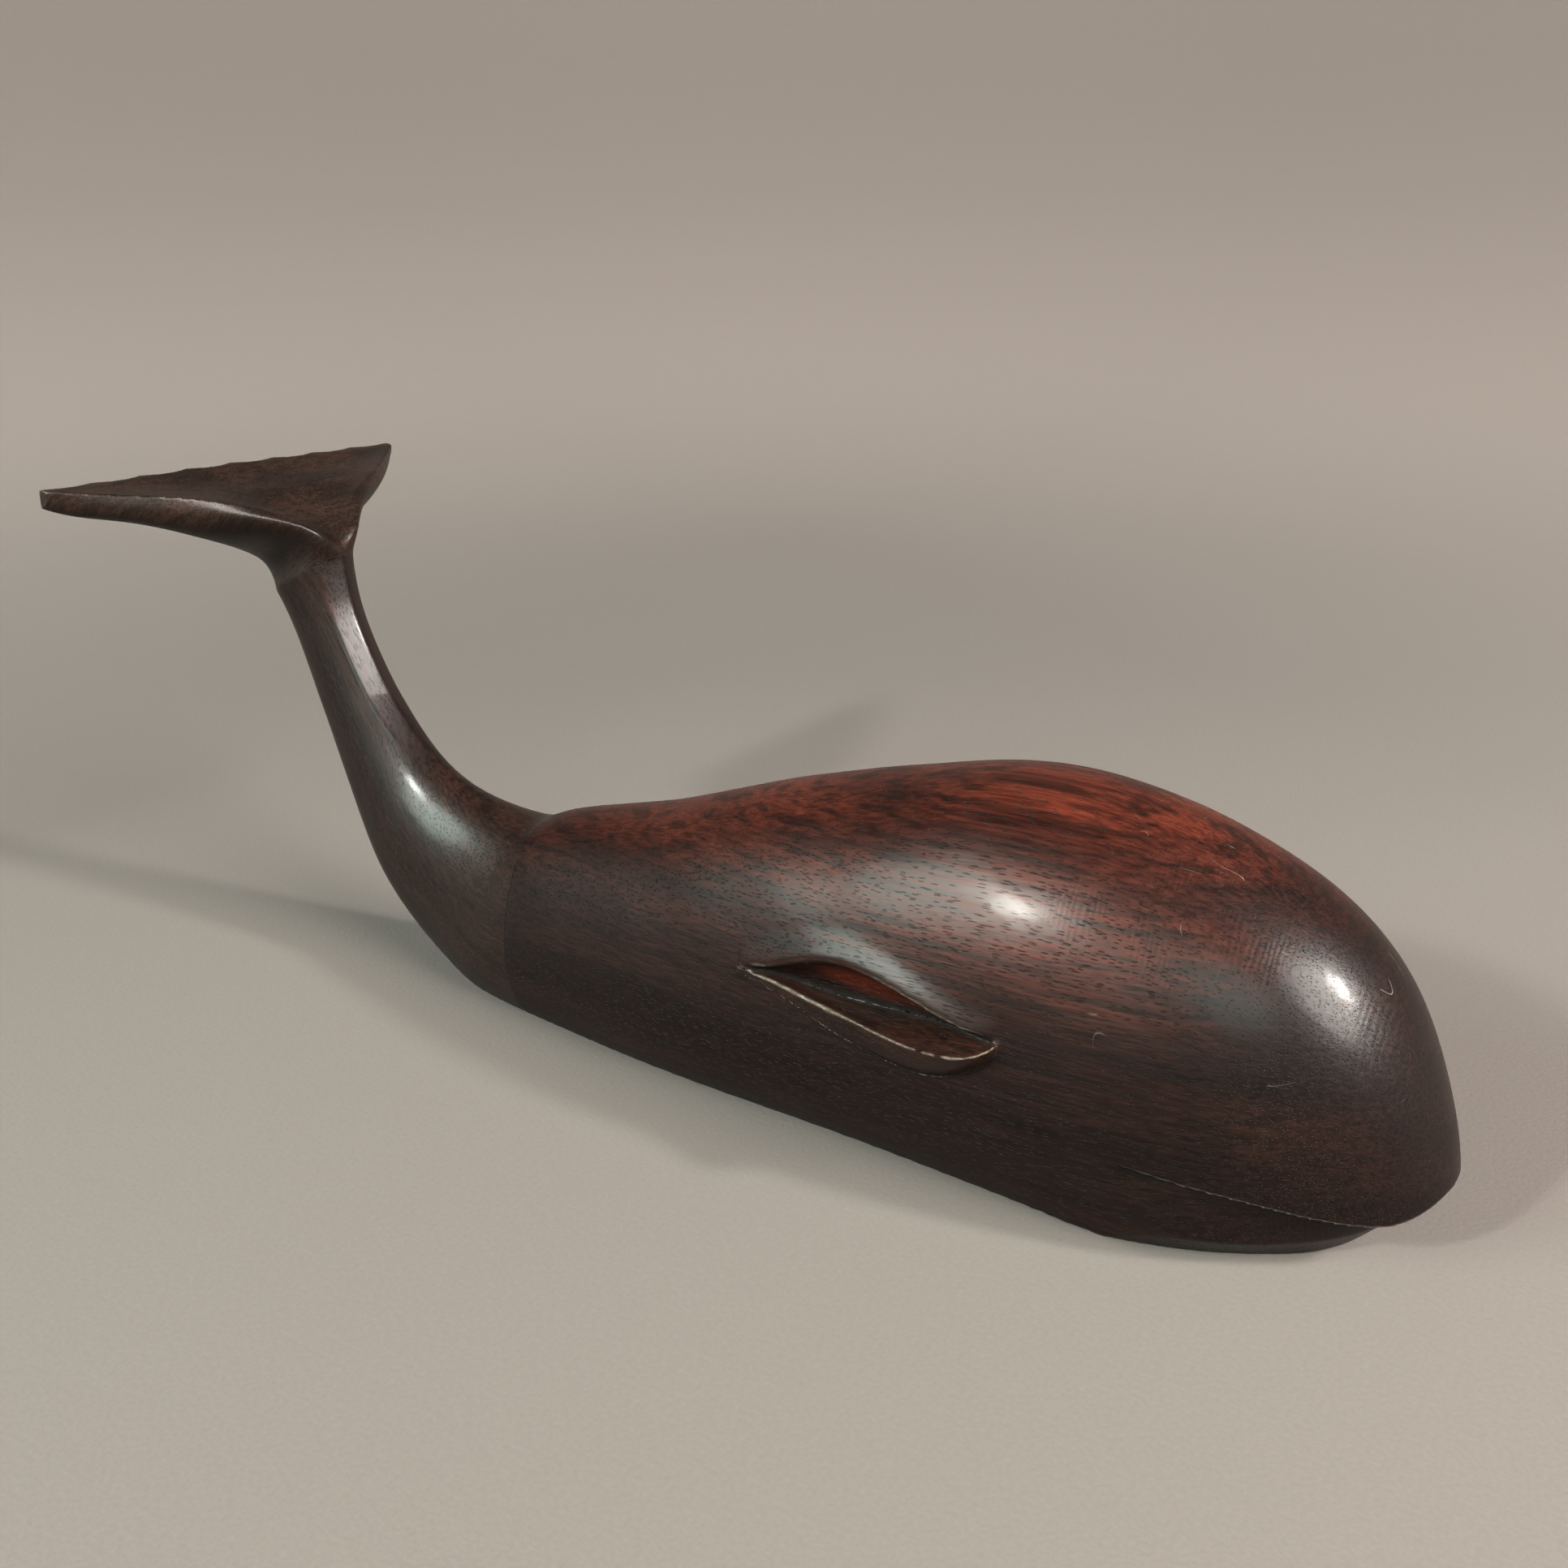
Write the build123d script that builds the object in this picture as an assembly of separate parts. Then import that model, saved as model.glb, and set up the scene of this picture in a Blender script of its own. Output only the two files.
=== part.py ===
from build123d import *
import math
import os

# A carved hardwood whale: body, tail stock and flukes glued end to end over dowels, and two side
# fins let into the body by hidden tongues. It rests on the flat cut under its belly.
# Frame: +X towards the snout, +Y to the whale's left, +Z up, origin on the floor under the middle.

# Overall sizes
whale_length = 360.0        # snout to fluke tips
body_height = 94.0          # floor to the crown of the head
body_width = 80.0           # widest part of the head
fluke_span = 125.6          # tip to tip

# Gaps of the glued joints
glue_gap = 0.08             # film of glue round a dowel or a tongue
dowel_end_gap = 0.6         # room at each end of a dowel hole

# Joint between body and tail stock
tail_joint_distance = 62.0  # from the middle back to the joint
tail_dowel_diameter = 8.0
tail_dowel_length = 44.0
tail_dowel_height = 27.0    # floor to halfway between the two dowels
tail_dowel_spacing = 22.0
dowel_chamfer = 0.5

# Joint between tail stock and flukes
fluke_dowel_diameter = 5.0
fluke_dowel_length = 18.0
fluke_dowel_spacing = 11.0
fluke_dowel_setback = 3.0   # pair of dowels behind the middle of the joint

# Flukes
fluke_height = 141.6        # floor to the middle of the trailing edge
valley_width = 1.2          # flat between the two ridges at the joint
scallop_depth = 2.0
SCALLOPS = 8                # along the trailing edge, from tip to tip

# Side fins
fin_rear_distance = 22.0    # from the middle forward to the rear tip
fin_length = 69.0
fin_edge_height = 41.2      # floor to the front corner of the edge
fin_stand = 7.0             # front corner outside the widest part of the head
fin_thickness = 10.5        # edge to the lowest line of the fin
fin_foot_depth = 1.0        # lowest line of the fin sunk into the body's side
fin_tongue_depth = 7.0      # hidden part behind the hollow
hollow_depth = 6.4          # deepest line of the hollow inside the body's side
hollow_rise = 10.0          # upper rim of the hollow above the edge of the fin

# Mouth
mouth_corner_distance = 112.0
mouth_corner_height = 22.3
mouth_rise = 9.5            # depth of the dip of the lip line below the corner
jaw_length = 62.0           # corner of the mouth to the tip of the jaw
jaw_top_width = 84.0
jaw_floor_width = 54.6
jaw_tip_setback = 12.0      # tip of the jaw at the floor behind its tip at the lip
jaw_band_height = 6.5       # floor to the crease where the jaw turns in to the belly
jaw_band_setback = 6.0      # tip of the jaw at the crease behind its tip at the lip

# How far the cutting shapes run past the wood
overrun = 5.0

NEAR_SIDE = -1
FAR_SIDE = 1

# Hull sections, from the fluke joint round to the underside of the snout, each in its own plane
# through a back point and a keel point. Each row holds back x and z, keel x and z, half width,
# waist, fullness above and below the waist, and ridge. The x values are shares of the whale's
# length, half widths of the body width, and z of the fluke height along the stock and of the body
# height from its root forward. Waist is the share of the way from keel to back where the section
# is widest, and ridge is 0 for a round back and 1 for a keel.
stock_shares = [
    (-0.3752, 0.836, -0.4490, 0.744, 0.119, 0.50, 0.62, 0.95, 1.0),
    (-0.3700, 0.772, -0.4320, 0.657, 0.105, 0.50, 0.70, 0.95, 0.9),
    (-0.3585, 0.687, -0.4145, 0.544, 0.103, 0.50, 0.80, 0.95, 0.55),
    (-0.3390, 0.590, -0.3938, 0.412, 0.112, 0.50, 0.88, 0.95, 0.25),
    (-0.3138, 0.493, -0.3715, 0.279, 0.134, 0.49, 0.95, 0.95, 0.05),
    (-0.2800, 0.418, -0.3420, 0.149, 0.162, 0.48, 1.00, 0.98, 0.0),
]
body_shares = [
    (-0.2340, 0.566, -0.2895, 0.038, 0.199, 0.47, 0.95, 1.08, 0.0),
    (-0.1722, 0.568, -0.2000, -0.090, 0.280, 0.46, 0.92, 1.18, 0.0),
    (-0.0972, 0.650, -0.0972, -0.120, 0.352, 0.46, 0.90, 1.12, 0.0),
    (0.0000, 0.765, 0.0000, -0.130, 0.418, 0.46, 0.88, 1.05, 0.0),
    (0.0972, 0.876, 0.0972, -0.130, 0.462, 0.46, 0.87, 1.00, 0.0),
    (0.1806, 0.951, 0.1806, -0.140, 0.488, 0.46, 0.86, 0.93, 0.0),
    (0.2500, 0.975, 0.2390, -0.160, 0.500, 0.46, 0.88, 0.90, 0.0),
    (0.3040, 0.947, 0.2556, -0.170, 0.500, 0.46, 0.90, 0.90, 0.0),
    (0.3550, 0.888, 0.2667, -0.190, 0.493, 0.48, 0.90, 0.88, 0.0),
    (0.4085, 0.784, 0.2722, -0.210, 0.480, 0.50, 0.88, 0.85, 0.0),
    (0.4510, 0.639, 0.2750, -0.220, 0.458, 0.50, 0.88, 0.85, 0.0),
    (0.4780, 0.462, 0.2778, -0.230, 0.428, 0.48, 0.90, 0.88, 0.0),
    (0.4930, 0.290, 0.2778, -0.230, 0.387, 0.44, 0.95, 0.92, 0.0),
    (0.4985, 0.130, 0.2778, -0.230, 0.343, 0.40, 1.00, 0.95, 0.0),
    (0.4900, -0.064, 0.2778, -0.230, 0.316, 0.38, 1.00, 0.98, 0.0),
]
hull_sections = [(row, fluke_height) for row in stock_shares]
hull_sections += [(row, body_height) for row in body_shares]
SECTION_STEPS = 4           # spline spans from the waist to the back, and to the keel
TIP_SQUARENESS = 0.25       # below 1 the underside runs further out before it turns up
EDGE_SQUARENESS = 1.3       # above 1 it turns up more sharply under the ridge

# Fluke sections from just above the joint to the trailing edge. Each row holds the ridge x, half
# width and z, the x and z of the top in the middle, the x and z of the underside in the middle,
# the bulge of the flank, its forward swell, and how square it is under the ridge. The bulge goes
# outwards on a round flank and down on a square one. The x values are shares of the whale's
# length, z of the fluke height, and half widths, bulge and swell of the fluke span.
fluke_shares = [
    (-0.3925, 0.052, 0.9030, -0.3960, 0.8880, -0.4620, 0.7880, 0.051, 0.080, 0.0),
    (-0.4085, 0.128, 0.9360, -0.4170, 0.9100, -0.4690, 0.8150, 0.046, 0.078, 0.2),
    (-0.4265, 0.236, 0.9640, -0.4380, 0.9380, -0.4760, 0.8540, 0.026, 0.050, 0.6),
    (-0.4500, 0.345, 0.9800, -0.4610, 0.9620, -0.4860, 0.9000, 0.010, 0.028, 0.9),
    (-0.4780, 0.448, 0.9900, -0.4830, 0.9820, -0.4950, 0.9330, 0.010, 0.010, 1.0),
    (-0.5025, 0.532, 0.9960, -0.5025, 1.0000, -0.5025, 0.9630, 0.012, 0.000, 1.0),
]

# Side fin sections, rear tip to front tip. Each row holds the share of the fin's length, then the
# edge's stand and rise, the hollow's depth and rise at its deepest line, the drop of the fin's
# lowest line, and the rise of the hollow's upper rim.
fin_shares = [
    (0.00, -0.62, 0.11, 0.74, 0.11, 0.04, 0.11),
    (0.10, -0.54, 0.06, 1.02, 0.04, 0.16, 0.36),
    (0.22, -0.40, -0.02, 1.18, -0.03, 0.34, 0.68),
    (0.35, -0.22, -0.13, 1.20, -0.10, 0.58, 0.98),
    (0.51, 0.12, -0.19, 1.12, -0.09, 0.82, 0.96),
    (0.67, 0.52, -0.22, 0.94, 0.00, 1.00, 0.72),
    (0.78, 0.80, -0.17, 0.70, 0.09, 0.97, 0.48),
    (0.88, 1.00, -0.06, 0.45, 0.14, 0.73, 0.30),
    (1.00, 0.14, 0.15, 0.19, 0.17, 0.07, 0.20),
]
belly_out_share = 0.6       # fullest point of the fin's underside, from its lowest line to the edge
belly_rise_share = 0.3

# Lip line seen from the side, as shares of the jaw's length and of the mouth's dip.
lip_shares = [
    (0.00, 0.00), (0.26, 0.20), (0.44, 0.32), (0.57, 0.47), (0.69, 0.68),
    (0.80, 0.86), (0.885, 0.96), (0.98, 0.86), (1.08, 0.38), (1.16, -0.06),
]

# Jaw half outline from above, as shares of its length and of its width: at the lip, at the floor.
jaw_top_shares = [
    (-0.50, 1.02), (0.00, 0.92), (0.13, 0.88), (0.29, 0.83), (0.45, 0.77),
    (0.61, 0.66), (0.77, 0.50), (0.90, 0.31),
]
jaw_floor_shares = [
    (-0.50, 1.50), (0.00, 1.22), (0.16, 1.15), (0.36, 1.04),
    (0.56, 0.88), (0.76, 0.66), (0.90, 0.42),
]


def smooth_edge(points, start, end):
    """Spline through the points, evenly stepped, leaving along start and arriving along end."""
    first = (points[1] - points[0]).length
    last = (points[-1] - points[-2]).length
    ends = [start.normalized() * first, end.normalized() * last]
    return Edge.make_spline(points, tangents=ends, parameters=list(range(len(points))), scale=False)


def hull_point(section, angle):
    """Point of a hull section at an angle from the keel, minus 90 degrees, to the back, plus 90."""
    row, height = section
    back_x, back_z, keel_x, keel_z, half_width, waist, above, below, _ = row
    rise = math.sin(math.radians(angle))
    spread = math.cos(math.radians(angle)) if abs(angle) < 90 else 0.0
    fullness = above if rise > 0 else below
    along = waist + (1 - waist) * rise if rise > 0 else waist + waist * rise
    x = (keel_x + (back_x - keel_x) * along) * whale_length
    z = (keel_z + (back_z - keel_z) * along) * height
    return Vector(x, half_width * body_width * spread**fullness, z)


def hull_flank(section):
    """Left half of a hull section, from the keel to the back."""
    step = 90 / SECTION_STEPS
    return [hull_point(section, step * k) for k in range(-SECTION_STEPS, SECTION_STEPS + 1)]


def closed_pair(far_half, into_back):
    """Closed wire of a left half and its mirror image."""
    outward = Vector(0, 1, 0)
    far = smooth_edge(far_half, outward, into_back)
    near_half = [Vector(p.X, -p.Y, p.Z) for p in reversed(far_half)]
    near = smooth_edge(near_half, Vector(-into_back.X, into_back.Y, -into_back.Z), outward)
    return Wire([far, near])


def hull_wire(section):
    half = hull_flank(section)
    ridge = section[0][-1]
    lean = (half[-1] - half[-2]).normalized()
    into_back = Vector(0, -1, 0) * (1 - ridge) + lean * ridge
    return closed_pair(half, into_back)


def hull():
    """Head, trunk and stock in one skin, so that the surfaces run on across the joints."""
    return Solid.make_loft([hull_wire(section) for section in hull_sections])


def tail_cut():
    """Everything behind the joint between body and tail stock."""
    size = whale_length
    block = Box(size, size, size)
    return Pos(-tail_joint_distance - size / 2, 0, 0) * block


def above_floor():
    size = whale_length * 2
    return Pos(0, 0, size / 2) * Box(size, size, size)


def jaw():
    """Lower jaw, set back under the lip, longer and wider at the lip than at the floor."""
    corner = mouth_corner_distance
    low_length = jaw_length - jaw_tip_setback
    band_length = jaw_length - jaw_band_setback
    levels = [
        (jaw_floor_shares, low_length, jaw_floor_width, -overrun),
        (jaw_floor_shares, low_length, jaw_floor_width, 0),
        (jaw_top_shares, band_length, jaw_top_width, jaw_band_height),
        (jaw_top_shares, jaw_length, jaw_top_width, mouth_corner_height),
        (jaw_top_shares, jaw_length, jaw_top_width, mouth_corner_height + overrun),
    ]
    wires = []
    for shares, length, width, height in levels:
        left = [Vector(corner + a * length, w * width / 2, height) for a, w in shares]
        tip = Vector(corner + length, 0, height)
        right = [Vector(p.X, -p.Y, p.Z) for p in reversed(left)]
        points = left + [tip] + right
        front = smooth_edge(points, left[1] - left[0], right[-1] - right[-2])
        wires.append(Wire([front, Edge.make_line(right[-1], left[0])]))
    return Solid.make_loft(wires, ruled=True)


def below_lip():
    """Everything lower than the lip line and ahead of the corner of the mouth."""
    points = []
    for along, drop in lip_shares:
        x = mouth_corner_distance + along * jaw_length
        points.append(Vector(x, 0, mouth_corner_height - drop * mouth_rise))
    lip = smooth_edge(points, points[1] - points[0], points[-1] - points[-2])
    floor = -overrun
    first, last = points[0], points[-1]
    front_foot = Vector(last.X, 0, floor)
    rear_foot = Vector(first.X, 0, floor)
    sides = Polyline(last, front_foot, rear_foot, first)
    outline = make_face(Wire([lip] + sides.edges()))
    return extrude(outline, amount=body_width, dir=(0, 1, 0), both=True)


def fin_frame(row):
    """Lengths of one fin section: x, then out and up for edge, hollow line, lowest line and rim."""
    along, stand, rise, depth, root_rise, drop, rim_rise = row
    side_wall = body_width / 2
    x = fin_rear_distance + along * fin_length
    edge = (side_wall + stand * fin_stand, fin_edge_height + rise * fin_thickness)
    root = (side_wall - depth * hollow_depth, fin_edge_height + root_rise * fin_thickness)
    low_out = side_wall + min(stand, 0) * fin_stand - fin_foot_depth
    low = (low_out, fin_edge_height - drop * fin_thickness)
    rim = (side_wall + fin_stand, fin_edge_height + rim_rise * hollow_rise)
    return x, edge, root, low, rim


def fin_loft(side, gap):
    """Fin with its tongue, or with a gap the mortise that takes the tongue."""
    wires = []
    last = len(fin_shares) - 1
    for k, row in enumerate(fin_shares):
        x, edge, root, low, _ = fin_frame(row)
        if k == 0:
            x -= gap
        if k == last:
            x += gap
        reach = math.hypot(root[0] - edge[0], root[1] - edge[1])
        grow = (reach + fin_tongue_depth) / reach
        top = (edge[0] + (root[0] - edge[0]) * grow, edge[1] + (root[1] - edge[1]) * grow)
        belly_out = low[0] + (edge[0] - low[0]) * belly_out_share
        belly_height = low[1] + (edge[1] - low[1]) * belly_rise_share
        outer = Vector(x, side * edge[0], edge[1] + gap)
        inner_top = Vector(x, side * (top[0] - gap), top[1] + gap)
        inner_low = Vector(x, side * (top[0] - gap), low[1] - gap)
        foot = Vector(x, side * low[0], low[1] - gap)
        belly = Vector(x, side * belly_out, belly_height - gap)
        wires.append(Wire([
            Edge.make_line(outer, inner_top),
            Edge.make_line(inner_top, inner_low),
            Edge.make_line(inner_low, foot),
            Edge.make_spline([foot, belly, outer], parameters=[0, 1, 2]),
        ]))
    return Solid.make_loft(wires)


def hollow(side):
    """Scoop above the fin, between the rim on the body's side and the fin's hidden tongue."""
    wires = []
    for row in fin_shares:
        x, edge, root, low, rim = fin_frame(row)
        outside = body_width / 2 + fin_stand + overrun
        deep = Vector(x, side * root[0], root[1])
        under = Vector(x, side * outside, (edge[1] + low[1]) / 2)
        over = Vector(x, side * outside, rim[1])
        lip = Vector(x, side * (body_width / 2), rim[1])
        wall = smooth_edge([lip, deep], Vector(0, -side, 0), Vector(0, 0, -1))
        wires.append(Wire([
            wall,
            Edge.make_line(deep, under),
            Edge.make_line(under, over),
            Edge.make_line(over, lip),
        ]))
    return Solid.make_loft(wires)


def fluke_flank(row):
    """Left flank of a fluke section, from the keel to the ridge."""
    ridge_x, half_width, ridge_z, _, _, keel_x, keel_z, bulge, forward, square = row
    points = []
    steps = 2 * SECTION_STEPS
    for k in range(steps + 1):
        turn = math.pi * k / steps
        even = (1 - math.cos(turn)) / 2
        out = even * (1 - square) + math.sin(turn / 2)**TIP_SQUARENESS * square
        up = even * (1 - square) + (1 - math.cos(turn / 2))**EDGE_SQUARENESS * square
        outward = bulge * math.sin(turn) * fluke_span
        ahead = forward * math.sin(turn) * even * fluke_span
        x = (keel_x + (ridge_x - keel_x) * (up + (out - up) * square)) * whale_length + ahead
        y = half_width * out * fluke_span + outward * (1 - square)
        z = (keel_z + (ridge_z - keel_z) * up) * fluke_height - outward * square
        points.append(Vector(x, y, z))
    return points


def fluke_wire(flank, middle):
    """Closed wire of a fluke section: the top between the two ridges, and the two flanks."""
    ridge = flank[-1]
    near_ridge = Vector(ridge.X, -ridge.Y, ridge.Z)
    top = Edge.make_spline([near_ridge, middle, ridge], parameters=[0, 1, 2])
    lean = flank[-1] - flank[-2]
    up_far = smooth_edge(flank, Vector(0, 1, 0), lean)
    near = [Vector(p.X, -p.Y, p.Z) for p in flank]
    up_near = smooth_edge(near, Vector(0, -1, 0), Vector(lean.X, -lean.Y, lean.Z))
    return Wire([top, up_far, up_near])


def flukes():
    """Flukes growing out of the joint on the stock, cut square at the tips and scalloped behind."""
    base = hull_flank(hull_sections[0])
    back = base[-1]
    base[-1] = Vector(back.X, valley_width / 2, back.Z)
    wires = [fluke_wire(base, back)]
    for row in fluke_shares:
        middle = Vector(row[3] * whale_length, 0, row[4] * fluke_height)
        wires.append(fluke_wire(fluke_flank(row), middle))
    blades = Solid.make_loft(wires)
    between_tips = Box(whale_length * 2, fluke_span, whale_length * 2)
    pitch = fluke_span / SCALLOPS
    radius = (pitch * pitch / 4 + scallop_depth * scallop_depth) / (2 * scallop_depth)
    edge_x = fluke_shares[-1][0] * whale_length
    scallops = []
    for k in range(SCALLOPS):
        y = (k - (SCALLOPS - 1) / 2) * pitch
        place = Pos(edge_x + scallop_depth - radius, y, fluke_height)
        scallops.append(place * Cylinder(radius, body_height))
    return (blades & between_tips) - scallops


def dowel(diameter, length):
    rod = Cylinder(diameter / 2, length)
    return chamfer(rod.edges().filter_by(GeomType.CIRCLE), dowel_chamfer)


def dowel_hole(diameter, length):
    return Cylinder(diameter / 2 + glue_gap, length + 2 * dowel_end_gap)


def tail_dowel_places():
    """Two dowels along the whale, one over the other, across the joint between body and stock."""
    for sign in (1, -1):
        height = tail_dowel_height + sign * tail_dowel_spacing / 2
        yield Pos(-tail_joint_distance, 0, height) * Rot(0, 90, 0)


def fluke_dowel_places():
    """Two dowels square to the joint between stock and flukes, one behind the other."""
    back = hull_point(hull_sections[0], 90)
    keel = hull_point(hull_sections[0], -90)
    across = (keel - back).normalized()
    middle = (back + keel) / 2 + across * fluke_dowel_setback
    tilt = math.degrees(math.atan2(across.Z, -across.X))
    for sign in (-1, 1):
        at = middle + across * (sign * fluke_dowel_spacing / 2)
        yield Pos(at.X, at.Y, at.Z) * Rot(0, tilt, 0)


def save(shape, name):
    export_step(shape, f"parts/{name}.step")


whole = hull() & above_floor()
body = whole - tail_cut() - (below_lip() - jaw())
tail_stock = whole & tail_cut()
fluke_piece = flukes()

fins = {}
for side, name in ((NEAR_SIDE, "right_fin"), (FAR_SIDE, "left_fin")):
    fins[name] = fin_loft(side, 0)
    body -= hollow(side)
    body -= fin_loft(side, glue_gap)

dowels = {}
for name, place in zip(("tail_dowel_upper", "tail_dowel_lower"), tail_dowel_places()):
    dowels[name] = place * dowel(tail_dowel_diameter, tail_dowel_length)
    hole = place * dowel_hole(tail_dowel_diameter, tail_dowel_length)
    body -= hole
    tail_stock -= hole
for name, place in zip(("fluke_dowel_front", "fluke_dowel_rear"), fluke_dowel_places()):
    dowels[name] = place * dowel(fluke_dowel_diameter, fluke_dowel_length)
    hole = place * dowel_hole(fluke_dowel_diameter, fluke_dowel_length)
    tail_stock -= hole
    fluke_piece -= hole

os.makedirs("parts", exist_ok=True)
save(body, "body")
save(tail_stock, "tail_stock")
save(fluke_piece, "flukes")
for name, piece in {**fins, **dowels}.items():
    save(piece, name)
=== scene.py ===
import math

import bmesh
import bpy
import numpy as np
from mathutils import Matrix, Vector


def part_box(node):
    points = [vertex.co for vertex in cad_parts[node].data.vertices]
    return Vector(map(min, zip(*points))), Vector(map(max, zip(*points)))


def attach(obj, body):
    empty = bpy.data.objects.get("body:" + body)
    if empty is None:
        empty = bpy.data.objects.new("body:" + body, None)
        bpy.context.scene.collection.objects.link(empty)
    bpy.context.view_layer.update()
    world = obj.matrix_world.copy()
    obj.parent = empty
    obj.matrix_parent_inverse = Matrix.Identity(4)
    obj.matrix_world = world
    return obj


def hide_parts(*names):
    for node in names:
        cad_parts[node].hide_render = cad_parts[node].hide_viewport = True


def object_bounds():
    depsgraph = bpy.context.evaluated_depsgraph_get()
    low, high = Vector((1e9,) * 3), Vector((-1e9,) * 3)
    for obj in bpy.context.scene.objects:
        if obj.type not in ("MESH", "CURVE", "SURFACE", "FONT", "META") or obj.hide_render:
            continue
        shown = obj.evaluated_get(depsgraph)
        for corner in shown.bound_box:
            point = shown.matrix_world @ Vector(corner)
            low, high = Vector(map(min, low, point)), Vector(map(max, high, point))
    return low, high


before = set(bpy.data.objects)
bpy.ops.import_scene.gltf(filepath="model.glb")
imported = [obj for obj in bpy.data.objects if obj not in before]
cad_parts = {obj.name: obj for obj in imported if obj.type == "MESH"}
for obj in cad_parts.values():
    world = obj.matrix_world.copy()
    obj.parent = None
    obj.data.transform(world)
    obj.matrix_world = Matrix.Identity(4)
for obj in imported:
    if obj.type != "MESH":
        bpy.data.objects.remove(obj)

cad_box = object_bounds()

# Body: head, mouth and trunk, one block of dark rosewood, flat under the belly, where it rests.
# Body, tail stock, flukes and fins are glued up first and then carved and sanded as one, so their
# surfaces run on across the joints. Dowel holes and mortises have the shapes of dowels and fins.
FINS = ("right_fin", "left_fin")
TAIL_DOWELS = ("tail_dowel_upper", "tail_dowel_lower")
FLUKE_DOWELS = ("fluke_dowel_front", "fluke_dowel_rear")
BLANK_PARTS = ("body", "tail_stock", "flukes", *FINS)
MERGE_DISTANCE = 1e-6
MESH_SIZE = 0.00056
EDGE_SANDING_PASSES = 2
SOFT_SANDING_PASSES = 14    # at the rims, the feet of the fins and the flukes' joint
SOFT_STEPS = 6
KEPT_FACES = 0.33           # share of the mesh left after the flat places are thinned


def middle(node_name):
    low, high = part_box(node_name)
    return (low + high) / 2


stem_root_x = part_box("body")[0].x
tail_joint = Vector((stem_root_x, 0, 0))
backwards = Vector((-1, 0, 0))
fluke_joint = middle("fluke_dowel_front")
along_fluke_joint = fluke_joint - middle("fluke_dowel_rear")
up_and_back = Vector((-along_fluke_joint.z, 0, along_fluke_joint.x)).normalized()


def merged_copy(node_name, outward=0.0):
    """Mesh of a part, merged, and let out along its normals by a margin."""
    part = bmesh.new()
    part.from_mesh(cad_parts[node_name].data)
    bmesh.ops.remove_doubles(part, verts=part.verts, dist=MERGE_DISTANCE)
    part.normal_update()
    moves = [vertex.normal * outward for vertex in part.verts]
    for vertex, move in zip(part.verts, moves):
        vertex.co += move
    mesh = bpy.data.meshes.new(node_name + "_copy")
    part.to_mesh(mesh)
    part.free()
    return mesh


def placed(name, mesh):
    piece = bpy.data.objects.new(name, mesh)
    bpy.context.scene.collection.objects.link(piece)
    return piece


def finished_mesh(piece):
    """The piece's mesh with its modifiers applied; the piece itself is removed."""
    bpy.context.view_layer.update()
    depsgraph = bpy.context.evaluated_depsgraph_get()
    mesh = bpy.data.meshes.new_from_object(piece.evaluated_get(depsgraph))
    bpy.data.objects.remove(piece)
    return mesh


def skinned(name, mesh, mesh_size):
    """One closed skin round overlapping solids, with its edges lightly sanded."""
    piece = placed(name, mesh)
    skin = piece.modifiers.new("Skin", "REMESH")
    skin.mode = "VOXEL"
    skin.voxel_size = mesh_size
    sanding = piece.modifiers.new("Sanding", "SMOOTH")
    sanding.iterations = EDGE_SANDING_PASSES
    return finished_mesh(piece)


def mesh_places(mesh):
    places = np.zeros(len(mesh.vertices) * 3)
    mesh.vertices.foreach_get("co", places)
    return places.reshape(-1, 3)


def mesh_normals(mesh):
    normals = np.zeros(len(mesh.vertices) * 3)
    mesh.vertices.foreach_get("normal", normals)
    return normals.reshape(-1, 3)


SCRAPER_STROKES = 7         # seed of the strokes' directions
SCRAPER_WAVES = 14          # shallow hollows left by gouge and scraper
SCRAPER_DEPTH = 0.00028
SCRAPER_SHORT = 0.022
SCRAPER_LONG = 0.070
FLAT_HEIGHT = 0.004         # the rest face and its edge stay true up to here


def scraper_depths(places):
    """Depth of the tool's shallow hollows at each place, always into the wood."""
    tool = np.random.default_rng(SCRAPER_STROKES)
    depth = np.zeros(len(places))
    for _ in range(SCRAPER_WAVES):
        direction = tool.normal(size=3)
        direction /= np.linalg.norm(direction)
        wavelength = tool.uniform(SCRAPER_SHORT, SCRAPER_LONG)
        turn = places @ direction * (math.tau / wavelength) + tool.uniform(0, math.tau)
        depth += np.sin(turn)
    spread = depth / math.sqrt(SCRAPER_WAVES)
    above_rest = np.clip(places[:, 2] / FLAT_HEIGHT - 1, 0, 1)
    return SCRAPER_DEPTH * (1 + np.clip(spread, -1, 1)) / 2 * above_rest


FIN_SHARES = (0.00, 0.10, 0.22, 0.35, 0.51, 0.67, 0.78, 0.88, 1.00)     # of the fin's length
RIM_HEIGHTS = (0.0423, 0.0448, 0.0480, 0.0510, 0.0508, 0.0484, 0.0460, 0.0442, 0.0432)
FOOT_HEIGHTS = (0.0408, 0.0395, 0.0376, 0.0351, 0.0326, 0.0307, 0.0310, 0.0335, 0.0405)
CURVE_DEGREE = 5


def beside_fin(places, heights):
    """Height of each place above a line along the fin, and how near it is to the fin's middle."""
    low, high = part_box("left_fin")
    along = (places[:, 0] - low.x) / (high.x - low.x)
    curve = np.polyfit(FIN_SHARES, heights, CURVE_DEGREE)
    above = places[:, 2] - np.polyval(curve, np.clip(along, 0, 1))
    return above, np.sqrt(np.clip(4 * along * (1 - along), 0, 1))


RIM_LIFT = 0.0015           # the rim of each hollow stands proud of the flank
RIM_LIFT_ABOVE = 0.0036     # and falls away over these heights above and below it
RIM_LIFT_BELOW = 0.0016


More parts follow.
